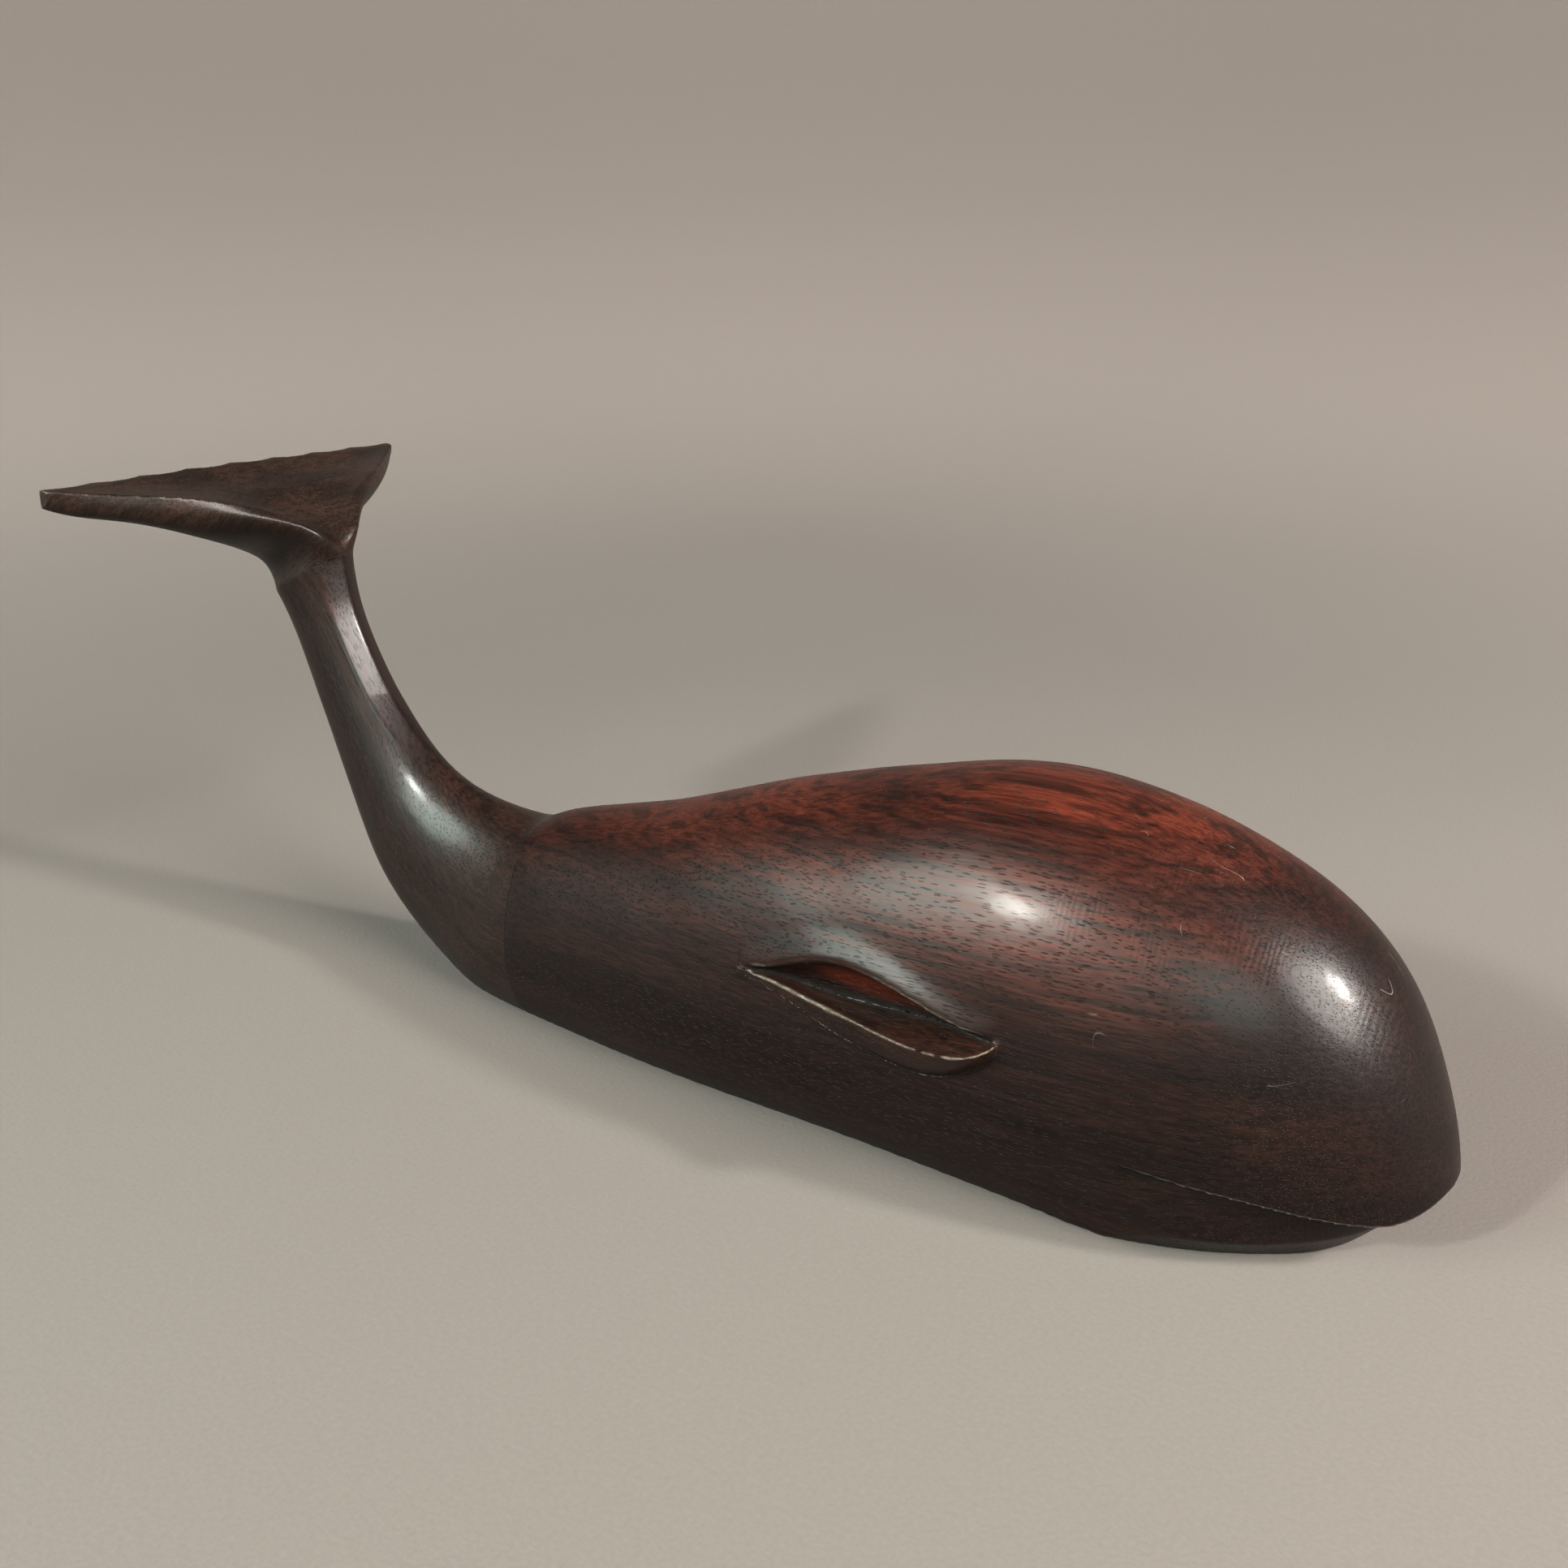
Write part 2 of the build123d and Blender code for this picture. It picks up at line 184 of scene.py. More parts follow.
def rim_lift(places):
    """How far each place is moved out, so that the rim of the hollow stands proud."""
    above, near = beside_fin(places, RIM_HEIGHTS)
    reach = np.where(above > 0, RIM_LIFT_ABOVE, RIM_LIFT_BELOW)
    return RIM_LIFT * near * np.exp(-(above / reach)**2) * np.sign(places[:, 1])


RIM_ROUNDING = 0.0016       # half-widths of the bands that are rounded over
FOOT_ROUNDING = 0.0034
SEAM_ROUNDING = 0.0040
SEAM_REACH = 0.020          # how far below the joint the flukes' seam comes down the stem
RIM_SHARE = 0.3             # rims are sanded less than feet and seam


def rounded_share(places):
    """How much each place is rounded over: rims, feet of the fins and the flukes' joint."""
    above, near = beside_fin(places, RIM_HEIGHTS)
    rim = RIM_SHARE * np.exp(-(above / RIM_ROUNDING)**2) * (near > 0)
    above, near = beside_fin(places, FOOT_HEIGHTS)
    foot = np.exp(-(above / FOOT_ROUNDING)**2) * (near > 0)
    above = (places - np.array(fluke_joint)) @ np.array(up_and_back)
    seam = np.exp(-(above / SEAM_ROUNDING)**2) * (places[:, 2] > fluke_joint.z - SEAM_REACH)
    return np.maximum(np.maximum(rim, foot), seam)


PLANED_FACING = (0.80, 0.43, 0.42)      # the way the left face of the stem looks
PLANED_WIDTH = 0.012
PLANED_HEIGHTS = (0.050, 0.060, 0.080, 0.106, 0.118, 0.128)
PLANED_SHARES = (0, 0.25, 0.95, 1.2, 1.2, 0)        # of the depth, at those heights
PLANED_DEPTH = 0.0018
PLANED_EDGE = 0.0006        # width over which a planed face blends into the round
PLANED_RUN = 9              # slices that the plane's sole bridges
SLICE_HEIGHT = 0.001
NO_WOOD = -1.0              # stands for a slice without any wood of the stem


def planed(places):
    """Planes two long faces on the front of the stem, which meet in a blunt ridge."""
    stem = (places[:, 0] < stem_root_x) & (np.abs(places[:, 1]) < PLANED_WIDTH)
    share = np.interp(places[:, 2], PLANED_HEIGHTS, PLANED_SHARES) * stem
    slices = np.maximum(places[:, 2] / SLICE_HEIGHT, 0).astype(int)
    for side in (-1, 1):
        facing = np.array(PLANED_FACING) * (1, side, 1)
        reach = places @ facing
        farthest = np.full(slices.max() + 1, NO_WOOD)
        np.maximum.at(farthest, slices[stem], reach[stem])
        even = np.convolve(farthest, np.ones(PLANED_RUN) / PLANED_RUN, mode="same")
        heights = (np.arange(len(even)) + 0.5) * SLICE_HEIGHT
        over = reach - np.interp(places[:, 2], heights, even) + PLANED_DEPTH * share
        over = (over + np.sqrt(over**2 + PLANED_EDGE**2)) / 2
        places = places - facing * (over * np.minimum(share, 1))[:, None]
    return places


SHARPNESS_PASSES = 3


def edge_sharpness(mesh):
    """Sharpness of the mesh at each vertex, above 0 on an edge and below 0 in a crease."""
    pairs = np.zeros(len(mesh.edges) * 2, dtype=np.int32)
    mesh.edges.foreach_get("vertices", pairs)
    first, second = pairs.reshape(-1, 2).T
    places = mesh_places(mesh)
    normals = mesh_normals(mesh)
    run = places[second] - places[first]
    run /= np.maximum(np.linalg.norm(run, axis=1), MERGE_DISTANCE)[:, None]
    total = np.zeros(len(places))
    count = np.zeros(len(places))
    for here, way in ((first, -run), (second, run)):
        np.add.at(total, here, np.sum(normals[here] * way, axis=1))
        np.add.at(count, here, 1)
    sharpness = total / np.maximum(count, 1)
    for _ in range(SHARPNESS_PASSES):
        around = np.zeros(len(places))
        np.add.at(around, first, sharpness[second])
        np.add.at(around, second, sharpness[first])
        sharpness = (sharpness + around / np.maximum(count, 1)) / 2
    return sharpness


def carved_skin():
    """One closed skin round the glued-up blank, carved, sanded and planed."""
    blank = bmesh.new()
    for part in BLANK_PARTS:
        blank.from_mesh(merged_copy(part))
    mesh = bpy.data.meshes.new("blank")
    blank.to_mesh(mesh)
    blank.free()
    mesh = skinned("blank", mesh, MESH_SIZE)
    places = mesh_places(mesh)
    places -= mesh_normals(mesh) * scraper_depths(places)[:, None]
    steps = np.round(rounded_share(places) * SOFT_STEPS)
    places[:, 1] += rim_lift(places)
    places = planed(places)
    mesh.vertices.foreach_set("co", places.ravel())
    mesh.update()
    piece = placed("skin", mesh)
    soft = piece.vertex_groups.new(name="soft")
    for step in range(1, SOFT_STEPS + 1):
        soft.add(np.flatnonzero(steps == step).tolist(), step / SOFT_STEPS, "REPLACE")
    rounding = piece.modifiers.new("Rounding", "SMOOTH")
    rounding.iterations = SOFT_SANDING_PASSES
    rounding.vertex_group = soft.name
    thinning = piece.modifiers.new("Thinning", "DECIMATE")
    thinning.ratio = KEPT_FACES
    mesh = finished_mesh(piece)
    places = np.clip(mesh_places(mesh), np.array(cad_box[0]), np.array(cad_box[1]))
    mesh.vertices.foreach_set("co", places.ravel())
    mesh.update()
    attribute = mesh.attributes.new("edge_sharpness", "FLOAT", "POINT")
    attribute.data.foreach_set("value", edge_sharpness(mesh))
    return mesh


def sawn(mesh, place, outward):
    """Keeps what lies behind a saw cut through the blank, and closes the cut."""
    part = bmesh.new()
    part.from_mesh(mesh)
    everything = part.verts[:] + part.edges[:] + part.faces[:]
    bmesh.ops.bisect_plane(part, geom=everything, dist=MERGE_DISTANCE, plane_co=place,
                           plane_no=outward, clear_outer=True)
    rim = [edge for edge in part.edges if edge.is_boundary]
    bmesh.ops.holes_fill(part, edges=rim, sides=0)
    made = bpy.data.meshes.new(mesh.name + "_sawn")
    part.to_mesh(made)
    part.free()
    return made


def cut(mesh, shape, operation):
    """Cuts a shape out of the wood, or keeps only what lies inside it."""
    piece = placed("wood", mesh)
    tool = placed("tool", shape)
    boolean = piece.modifiers.new("Cut", "BOOLEAN")
    boolean.solver = "MANIFOLD"
    boolean.operation = operation
    boolean.object = tool
    made = finished_mesh(piece)
    bpy.data.objects.remove(tool)
    return made


GLUE_MARGIN = 0.0001        # hole wider than the dowel, all round


def drilled(mesh, dowels):
    for dowel in dowels:
        mesh = cut(mesh, merged_copy(dowel, GLUE_MARGIN), "DIFFERENCE")
    return mesh


FIN_SHAPE_MESH_SIZE = 0.0005
MORTISE_MARGIN = 0.0003     # the fin's root reaches this far past the carved root line


def fin_shape(fin):
    """A fin's whole form, tongue included, let out by the margin of its mortise."""
    mesh = skinned(fin + "_shape", merged_copy(fin), FIN_SHAPE_MESH_SIZE)
    grown = mesh_places(mesh) + mesh_normals(mesh) * MORTISE_MARGIN
    mesh.vertices.foreach_set("co", grown.ravel())
    mesh.update()
    return mesh


STEM_BEND = math.radians(60)        # how far the grain of the stem turns up
STEM_BEND_RADIUS = 0.060
STEM_ROOT_HEIGHT = 0.026


def grain_places(places):
    """Places measured along, up and across the grain, which follows the stem up to the flukes."""
    behind = np.maximum(stem_root_x - places[:, 0], 0)
    up = places[:, 2] - STEM_ROOT_HEIGHT
    turn = np.where(behind > 0, np.arctan2(behind, STEM_BEND_RADIUS - up), 0)
    turn = np.clip(turn, 0, STEM_BEND)
    centre_up = STEM_BEND_RADIUS * (1 - np.cos(turn))
    centre_behind = STEM_BEND_RADIUS * np.sin(turn)
    along = (behind - centre_behind) * np.cos(turn) + (up - centre_up) * np.sin(turn)
    across = (up - centre_up) * np.cos(turn) - (behind - centre_behind) * np.sin(turn)
    ahead = np.maximum(places[:, 0] - stem_root_x, 0)
    run = ahead - STEM_BEND_RADIUS * turn - along * (behind > 0)
    return np.column_stack([run, across, places[:, 1]])


KNOTS = [       # along, up and across the grain, radius, and how far the grain gives way
    (0.045, 0.010, -0.034, 0.016, 0.003),
    (0.118, 0.030, -0.030, 0.030, 0.002),
    (0.015, 0.030, 0.030, 0.022, 0.004),
]


def knot_swirls(grain):
    """Pushes the grain apart round the few small knots under the surface."""
    for run, up, side, radius, push in KNOTS:
        away = grain - np.array((run, up, side))
        near = np.exp(-np.sum(away**2, axis=1) / radius**2)
        grain[:, 1] += push * near * np.sign(away[:, 1]) * np.sqrt(np.abs(away[:, 1]) / radius)
    return grain


SHARP_EDGE = math.radians(38)


def fitted(name, mesh, material, slot, *replaced):
    """Hangs a finished wooden piece on the whale, with its grain written on it."""
    mesh.validate()
    piece = placed(name, mesh)
    mesh.materials.clear()
    mesh.materials.append(material)
    mesh.shade_smooth()
    mesh.set_sharp_from_angle(angle=SHARP_EDGE)
    grain = knot_swirls(grain_places(mesh_places(mesh)))
    attribute = mesh.attributes.new("grain", "FLOAT_VECTOR", "POINT")
    attribute.data.foreach_set("vector", grain.ravel())
    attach(piece, "root")
    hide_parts(*replaced)


skin = carved_skin()
body_mesh = sawn(skin, tail_joint, backwards)
for fin in FINS:
    body_mesh = cut(body_mesh, fin_shape(fin), "DIFFERENCE")
body_mesh = drilled(body_mesh, TAIL_DOWELS)


def add(tree, kind, inputs, **settings):
    """Adds a shader node. An input is given a value, or the socket that feeds it."""
    made = tree.nodes.new("ShaderNode" + kind)
    for name, value in settings.items():
        setattr(made, name, value)
    for name, value in inputs.items():
        if isinstance(value, bpy.types.NodeSocket):
            tree.links.new(value, made.inputs[name])
        else:
            made.inputs[name].default_value = value
    return made


def maths(tree, operation, first, second=0.0):
    return add(tree, "Math", {0: first, 1: second}, operation=operation).outputs[0]


def plus(tree, first, second):
    return maths(tree, "ADD", first, second)


def minus(tree, first, second):
    return maths(tree, "SUBTRACT", first, second)


def times(tree, first, second):
    return maths(tree, "MULTIPLY", first, second)


def spread(tree, value, low, high, results, **settings):
    """Turns the values from low to high into the two results and what lies between them."""
    made = add(tree, "MapRange", {"Value": value, "From Min": low, "From Max": high,
                                  "To Min": results[0], "To Max": results[1]}, **settings)
    return made.outputs["Result"]


def ramp(tree, value, low, high):
    """0 at low and 1 at high, with a smooth passage between; the other way round if low > high."""
    results = (float(low > high), float(low < high))
    return spread(tree, value, min(low, high), max(low, high), results, interpolation_type="SMOOTHSTEP")


def blend(tree, share, first, second, how="MIX"):
    made = add(tree, "Mix", {"Factor": share}, data_type="RGBA", blend_type=how)
    for socket, value in ((made.inputs[6], first), (made.inputs[7], second)):
        if isinstance(value, bpy.types.NodeSocket):
            tree.links.new(value, socket)
        else:
            socket.default_value = (*value, 1)
    return made.outputs[2]


def split(tree, places):
    """The places along, up and across the grain, as three sockets."""
    return add(tree, "SeparateXYZ", {0: places}).outputs


def stretched(tree, places, repeats):
    """The places at so many repeats a metre along, up and across the grain."""
    return add(tree, "Mapping", {"Vector": places, "Scale": repeats}).outputs[0]


def noise(tree, places, repeats, detail=2.0, roughness=0.5, output="Fac"):
    inputs = {"Vector": stretched(tree, places, repeats), "Scale": 1.0, "Detail": detail,
              "Roughness": roughness}
    return add(tree, "TexNoise", inputs).outputs[output]


NOISE_MIDDLE = 0.5
WANDER_REPEATS = (9, 22, 22)        # a metre, along, up and across the grain
WANDER_REACH = (0.0, 0.008, 0.008)


def wandering(tree, grain):
    """The grain pushed aside here and there, so that its lines don't run dead straight."""
    wander = noise(tree, grain, WANDER_REPEATS, 0.0, output="Color")
    push = add(tree, "VectorMath", {0: wander, 1: (NOISE_MIDDLE,) * 3}, operation="SUBTRACT")
    push = add(tree, "VectorMath", {0: push.outputs[0], 1: WANDER_REACH}, operation="MULTIPLY")
    return add(tree, "VectorMath", {0: grain, 1: push.outputs[0]}).outputs[0]


PORE_REPEATS = (260, 2300, 2300)
PORE_EDGE = (0.33, 0.13)            # share of a pore's cell where its rim begins and ends


def open_pores(tree, grain):
    """The long open vessels of rosewood, 1 in a pore and 0 beside it."""
    cells = add(tree, "TexVoronoi", {"Vector": stretched(tree, grain, PORE_REPEATS), "Scale": 1.0})
    return ramp(tree, cells.outputs["Distance"], *PORE_EDGE)


RIPPLE_REPEATS = (5400, 0, 0)       # radians a metre along the grain
RIPPLE_BEND = 14.0
RIPPLE_BEND_REPEATS = (160, 60, 60)
RIPPLE_PATCH_REPEATS = (60, 60, 60)
RIPPLE_PATCH_EDGE = (0.46, 0.62)


def crosswise_ripple(tree, grain, strength):
    """Fine waves across the grain, in patches, where the fibres of the block dip and rise."""
    bend = times(tree, noise(tree, grain, RIPPLE_BEND_REPEATS), RIPPLE_BEND)
    sweep = split(tree, stretched(tree, grain, RIPPLE_REPEATS))[0]
    patches = ramp(tree, noise(tree, grain, RIPPLE_PATCH_REPEATS), *RIPPLE_PATCH_EDGE)
    wave = maths(tree, "SINE", plus(tree, sweep, bend))
    return times(tree, wave, times(tree, patches, strength))


SCRATCH_PATH_REPEATS = (130, 130, 130)
SCRATCH_WIDTH = (0.008, 0.003)      # of the noise round its middle
SCRATCH_HIT_REPEATS = (150, 120, 120)
SCRATCH_HIT_EDGE = (0.66, 0.70)


def fine_scratches(tree, grain, strength):
    """A few short hair-fine scratches, bent as a nail's or a grain of sand's are."""
    path = noise(tree, grain, SCRATCH_PATH_REPEATS, 0.0)
    off_path = maths(tree, "ABSOLUTE", minus(tree, path, NOISE_MIDDLE))
    hit = ramp(tree, noise(tree, grain, SCRATCH_HIT_REPEATS, 0.0), *SCRATCH_HIT_EDGE)
    return times(tree, times(tree, ramp(tree, off_path, *SCRATCH_WIDTH), hit), strength)


BAND_REPEATS = (3, 95, 40)          # growth bands, dark to brown
BAND_EDGE = (0.30, 0.70)
STREAK_REPEATS = (5, 30, 22)        # broad streaks of red heartwood
STREAK_SHARE = 0.55                 # the rest of the red follows the bands
STREAK_EDGE = (0.26, 0.60)
LINE_REPEATS = (9, 620, 260)        # thin dark lines
LINE_EDGE = (0.54, 0.36)
LINE_SHARE = 0.62
FIBRE_REPEATS = (60, 1300, 1300)
FIBRE_FINENESS = 0.55
FIBRE_RANGE = (0.3, 0.7)            # what the fibres' noise spans
FIBRE_SHADES = (0.55, 1.45)
FIBRE_MATT = (0.38, 0.48)
FIBRE_HEIGHT = 0.55                 # as a share of the depth of a pore, as the ripple's is
RIPPLE_HEIGHT = 0.10
PORE_SHARE = 0.75
PORE_MATT = 0.2
SCRATCH_COLOUR = (0.20, 0.16, 0.13)
SCRATCH_SHARE = 0.6
EDGE_HIGHLIGHT_COLOUR = (0.26, 0.22, 0.18)    # edges painted pale: a painted highlight along them
EDGE_HIGHLIGHT_RANGE = (0.05, 0.15)
EDGE_HIGHLIGHT_SHARE = 0.5
CREASE_SHADE_RANGE = (-0.02, -0.09)         # painted shade in the creases, which are also matter there
CREASE_SHADE_SHARE = 0.8
CREASE_MATT = 0.4
POLISH = 0.16                       # weight of the thin coat of wax, which the creases lack
WOOD_COLOURS = ("Dark", "Brown", "Red", "Pore filling and crease shade")


def rosewood_figure():
    """Growth bands, dark lines, fibres, pores, crosswise ripple and fine scratches of rosewood, with a
    painted highlight on its edges and painted shade in its creases.
    """
    tree = bpy.data.node_groups.new("Rosewood figure", "ShaderNodeTree")
    face = tree.interface
    face.new_socket(name="Grain", in_out="INPUT", socket_type="NodeSocketVector")
    for name in WOOD_COLOURS:
        face.new_socket(name=name, in_out="INPUT", socket_type="NodeSocketColor")
    for name in ("Redness", "Ripple", "Scratches", "Edge sharpness"):
        face.new_socket(name=name, in_out="INPUT", socket_type="NodeSocketFloat")
    face.new_socket(name="Colour", in_out="OUTPUT", socket_type="NodeSocketColor")
    for name in ("Roughness", "Height", "Polish"):
        face.new_socket(name=name, in_out="OUTPUT", socket_type="NodeSocketFloat")
    given = tree.nodes.new("NodeGroupInput").outputs
    result = tree.nodes.new("NodeGroupOutput").inputs

    grain = wandering(tree, given["Grain"])
    bands = noise(tree, grain, BAND_REPEATS, 3.0)
    streaks = noise(tree, grain, STREAK_REPEATS, 1.0)
    lines = noise(tree, grain, LINE_REPEATS)
    fibres = noise(tree, grain, FIBRE_REPEATS, roughness=FIBRE_FINENESS)
    pores = open_pores(tree, grain)
    ripple = crosswise_ripple(tree, grain, given["Ripple"])
    scratch = fine_scratches(tree, given["Grain"], given["Scratches"])
    # Painted light: sharp edges get a pale painted highlight, creases get painted shade.
    painted_edge_light = ramp(tree, given["Edge sharpness"], *EDGE_HIGHLIGHT_RANGE)
    crease_shade = ramp(tree, given["Edge sharpness"], *CREASE_SHADE_RANGE)

    colour = blend(tree, ramp(tree, bands, *BAND_EDGE), given["Dark"], given["Brown"])
    red = plus(tree, times(tree, bands, 1 - STREAK_SHARE), times(tree, streaks, STREAK_SHARE))
    red = times(tree, ramp(tree, red, *STREAK_EDGE), given["Redness"])
    colour = blend(tree, red, colour, given["Red"])
    dark_line = times(tree, ramp(tree, lines, *LINE_EDGE), LINE_SHARE)
    colour = blend(tree, dark_line, colour, given["Dark"])
    shade = spread(tree, fibres, *FIBRE_RANGE, FIBRE_SHADES)
    shade = add(tree, "CombineColor", {0: shade, 1: shade, 2: shade}).outputs[0]
    colour = blend(tree, 1.0, colour, shade, "MULTIPLY")
    colour = blend(tree, times(tree, pores, PORE_SHARE), colour, given["Pore filling and crease shade"])
    colour = blend(tree, times(tree, scratch, SCRATCH_SHARE), colour, SCRATCH_COLOUR)
    # Painted highlight on the edges, then painted shade in the creases.
    colour = blend(tree, times(tree, painted_edge_light, EDGE_HIGHLIGHT_SHARE), colour, EDGE_HIGHLIGHT_COLOUR)
    # The crease shade is painted with the pores' colour.
    colour = blend(tree, times(tree, crease_shade, CREASE_SHADE_SHARE), colour, given["Pore filling and crease shade"])

    matt = spread(tree, fibres, *FIBRE_RANGE, FIBRE_MATT)
    matt = plus(tree, matt, times(tree, pores, PORE_MATT))
    matt = plus(tree, matt, times(tree, crease_shade, CREASE_MATT))
    height = minus(tree, times(tree, fibres, FIBRE_HEIGHT), pores)
    height = plus(tree, height, times(tree, ripple, RIPPLE_HEIGHT))
    height = minus(tree, height, scratch)
    tree.links.new(colour, result["Colour"])
    tree.links.new(matt, result["Roughness"])
    tree.links.new(height, result["Height"])
    tree.links.new(spread(tree, crease_shade, 0, 1, (POLISH, 0)), result["Polish"])
    return tree


figure = rosewood_figure()
PORE_DEPTH = 0.00011
WOOD_REFLECTION = 0.20
WAX_ROUGHNESS = 0.22


def rosewood(name, colours, redness=0.0, ripple=0.0, scratches=0.0, turn=(0, 0, 0), shift=(0, 0, 0),
             painted_edge_light=1.0, polish=1.0, painted_glow=None):
    """Hand-polished rosewood in the colours of one block, with its grain turned and shifted."""
    material = bpy.data.materials.new(name)
    material.use_nodes = True
    tree = material.node_tree
    shader = tree.nodes["Principled BSDF"]
    grain = add(tree, "Attribute", {}, attribute_name="grain").outputs["Vector"]
    wood = tree.nodes.new("ShaderNodeGroup")
    wood.node_tree = figure
    for socket, colour in zip(WOOD_COLOURS, colours):
        wood.inputs[socket].default_value = (*colour, 1)
    for socket, zone in (("Redness", redness), ("Ripple", ripple), ("Scratches", scratches)):
        if callable(zone):
            tree.links.new(zone(tree, grain), wood.inputs[socket])
        else:
            wood.inputs[socket].default_value = zone
    # The mesh's sharpness drives the painted edge highlights and the painted crease shade.
    sharpness = add(tree, "Attribute", {}, attribute_name="edge_sharpness").outputs["Fac"]
    tree.links.new(times(tree, sharpness, painted_edge_light), wood.inputs["Edge sharpness"])
    turned = add(tree, "Mapping", {"Vector": grain, "Rotation": turn, "Location": shift}).outputs[0]
    tree.links.new(turned, wood.inputs["Grain"])
    colour = wood.outputs["Colour"]
    # A red glow painted on the walls of the hollows.
    if painted_glow:
        colour = blend(tree, painted_glow(tree, grain), colour, HOLLOW_GLOW_RED)
    bump = add(tree, "Bump", {"Height": wood.outputs["Height"], "Distance": PORE_DEPTH, "Strength": 1.0})
    tree.links.new(colour, shader.inputs["Base Color"])
    tree.links.new(wood.outputs["Roughness"], shader.inputs["Roughness"])
    tree.links.new(bump.outputs["Normal"], shader.inputs["Normal"])
    tree.links.new(times(tree, wood.outputs["Polish"], polish), shader.inputs["Coat Weight"])
    shader.inputs["Specular IOR Level"].default_value = WOOD_REFLECTION
    shader.inputs["Coat Roughness"].default_value = WAX_ROUGHNESS
    return material


BACK_HEIGHTS = (0.004, 0.066)       # where the red begins and where it is full
BACK_ENDS = (0.235, 0.165)          # it fades out towards the forehead


def back_zone(tree, grain):
    """The upper back, where the red heartwood shows."""
    along, up, _ = split(tree, grain)
    return times(tree, ramp(tree, up, *BACK_HEIGHTS), ramp(tree, along, *BACK_ENDS))


# A red glow painted on the upper wall of each hollow.
HOLLOW_GLOW_RED = (0.060, 0.011, 0.005)
HOLLOW_WALL = (0.120, 0.0190, 0.0350)   # along, up and across the grain, from the stem's root
HOLLOW_WALL_SIZE = (0.015, 0.0038, 0.0036)
HOLLOW_WALL_EDGE = (1.5, 0.4)
HOLLOW_STREAK_REPEATS = (30, 900, 400)
HOLLOW_STREAK_EDGE = (0.25, 0.6)
HOLLOW_SHARE = 0.85


def hollow_glow(tree, grain):
    """The upper wall of each hollow, where a red glow is painted on in streaks."""
    along, up, across = split(tree, grain)
    either_side = maths(tree, "ABSOLUTE", across)
    distance = 0.0
    for place, centre, size in zip((along, up, either_side), HOLLOW_WALL, HOLLOW_WALL_SIZE):
        share = maths(tree, "DIVIDE", minus(tree, place, centre), size)
        distance = plus(tree, distance, times(tree, share, share))
    streaks = noise(tree, grain, HOLLOW_STREAK_REPEATS)
    patch = times(tree, ramp(tree, distance, *HOLLOW_WALL_EDGE),
                  ramp(tree, streaks, *HOLLOW_STREAK_EDGE))
    return times(tree, patch, HOLLOW_SHARE)


BROW_FADE = (0.090, 0.190)


def brow_zone(tree, grain):
    """The upper flank of the head, where the fibres ripple."""
    return ramp(tree, split(tree, grain)[0], *BROW_FADE)


FOREHEAD_FADE = (0.16, 0.20)
FOREHEAD_HEIGHTS = (0.01, 0.03)


def worn_zone(tree, grain):
    """The forehead and the top of the head, which get the knocks."""
    along, up, _ = split(tree, grain)
    return times(tree, ramp(tree, along, *FOREHEAD_FADE), ramp(tree, up, *FOREHEAD_HEIGHTS))


BODY_COLOURS = [(0.0052, 0.0020, 0.0014), (0.0125, 0.0045, 0.0030),
                (0.0880, 0.0180, 0.0096), (0.0040, 0.0026, 0.0020)]
body_wood = rosewood("body_rosewood", BODY_COLOURS, back_zone, brow_zone, worn_zone,
                     painted_glow=hollow_glow)
fitted("carved_body", body_mesh, body_wood, "body_wood", "body")

# Tail stock: the upswept stem, a second block of rosewood, sawn square at its root and aslant
# under the flukes, doweled and glued at both ends. Its grain runs up the stem.
STOCK_COLOURS = [(0.0056, 0.0026, 0.0018), (0.0150, 0.0068, 0.0048),
                 (0.0300, 0.0110, 0.0070), (0.0044, 0.0030, 0.0023)]
STOCK_REDNESS = 0.25
STOCK_GRAIN_TURN = (0, 0.05, 0.04)
STOCK_GRAIN_SHIFT = (0.31, 0.12, 0.07)
STOCK_POLISH = 1.5          # hands hold it here, so it shines more
tail_mesh = sawn(skin, tail_joint, -backwards)
stock_mesh = sawn(tail_mesh, fluke_joint, up_and_back)
stock_mesh = drilled(stock_mesh, TAIL_DOWELS + FLUKE_DOWELS)
stock_wood = rosewood("stock_rosewood", STOCK_COLOURS, STOCK_REDNESS, turn=STOCK_GRAIN_TURN,
                      shift=STOCK_GRAIN_SHIFT, polish=STOCK_POLISH)
fitted("carved_tail_stock", stock_mesh, stock_wood, "tail_wood", "tail_stock")

# Flukes: the two blades of the tail fin, a third block of rosewood with its grain across the
# stem, glued and doweled on top of the stock.
FLUKE_COLOURS = [(0.0080, 0.0044, 0.0030), (0.0220, 0.0115, 0.0080),
                 (0.0340, 0.0150, 0.0095), (0.0060, 0.0040, 0.0030)]
FLUKE_REDNESS = 0.2
FLUKE_GRAIN_TURN = (0, 0, math.radians(80))
FLUKE_GRAIN_SHIFT = (0.05, 0.21, 0.4)
FLUKE_EDGE_LIGHT = 0.5            # the blades get weaker painted highlights on their edges and less painted shade in their creases
fluke_mesh = sawn(tail_mesh, fluke_joint, -up_and_back)
fluke_mesh = drilled(fluke_mesh, FLUKE_DOWELS)
fluke_wood = rosewood("fluke_rosewood", FLUKE_COLOURS, FLUKE_REDNESS, turn=FLUKE_GRAIN_TURN,
                      shift=FLUKE_GRAIN_SHIFT, painted_edge_light=FLUKE_EDGE_LIGHT)
fitted("carved_flukes", fluke_mesh, fluke_wood, "fluke_wood", "flukes")

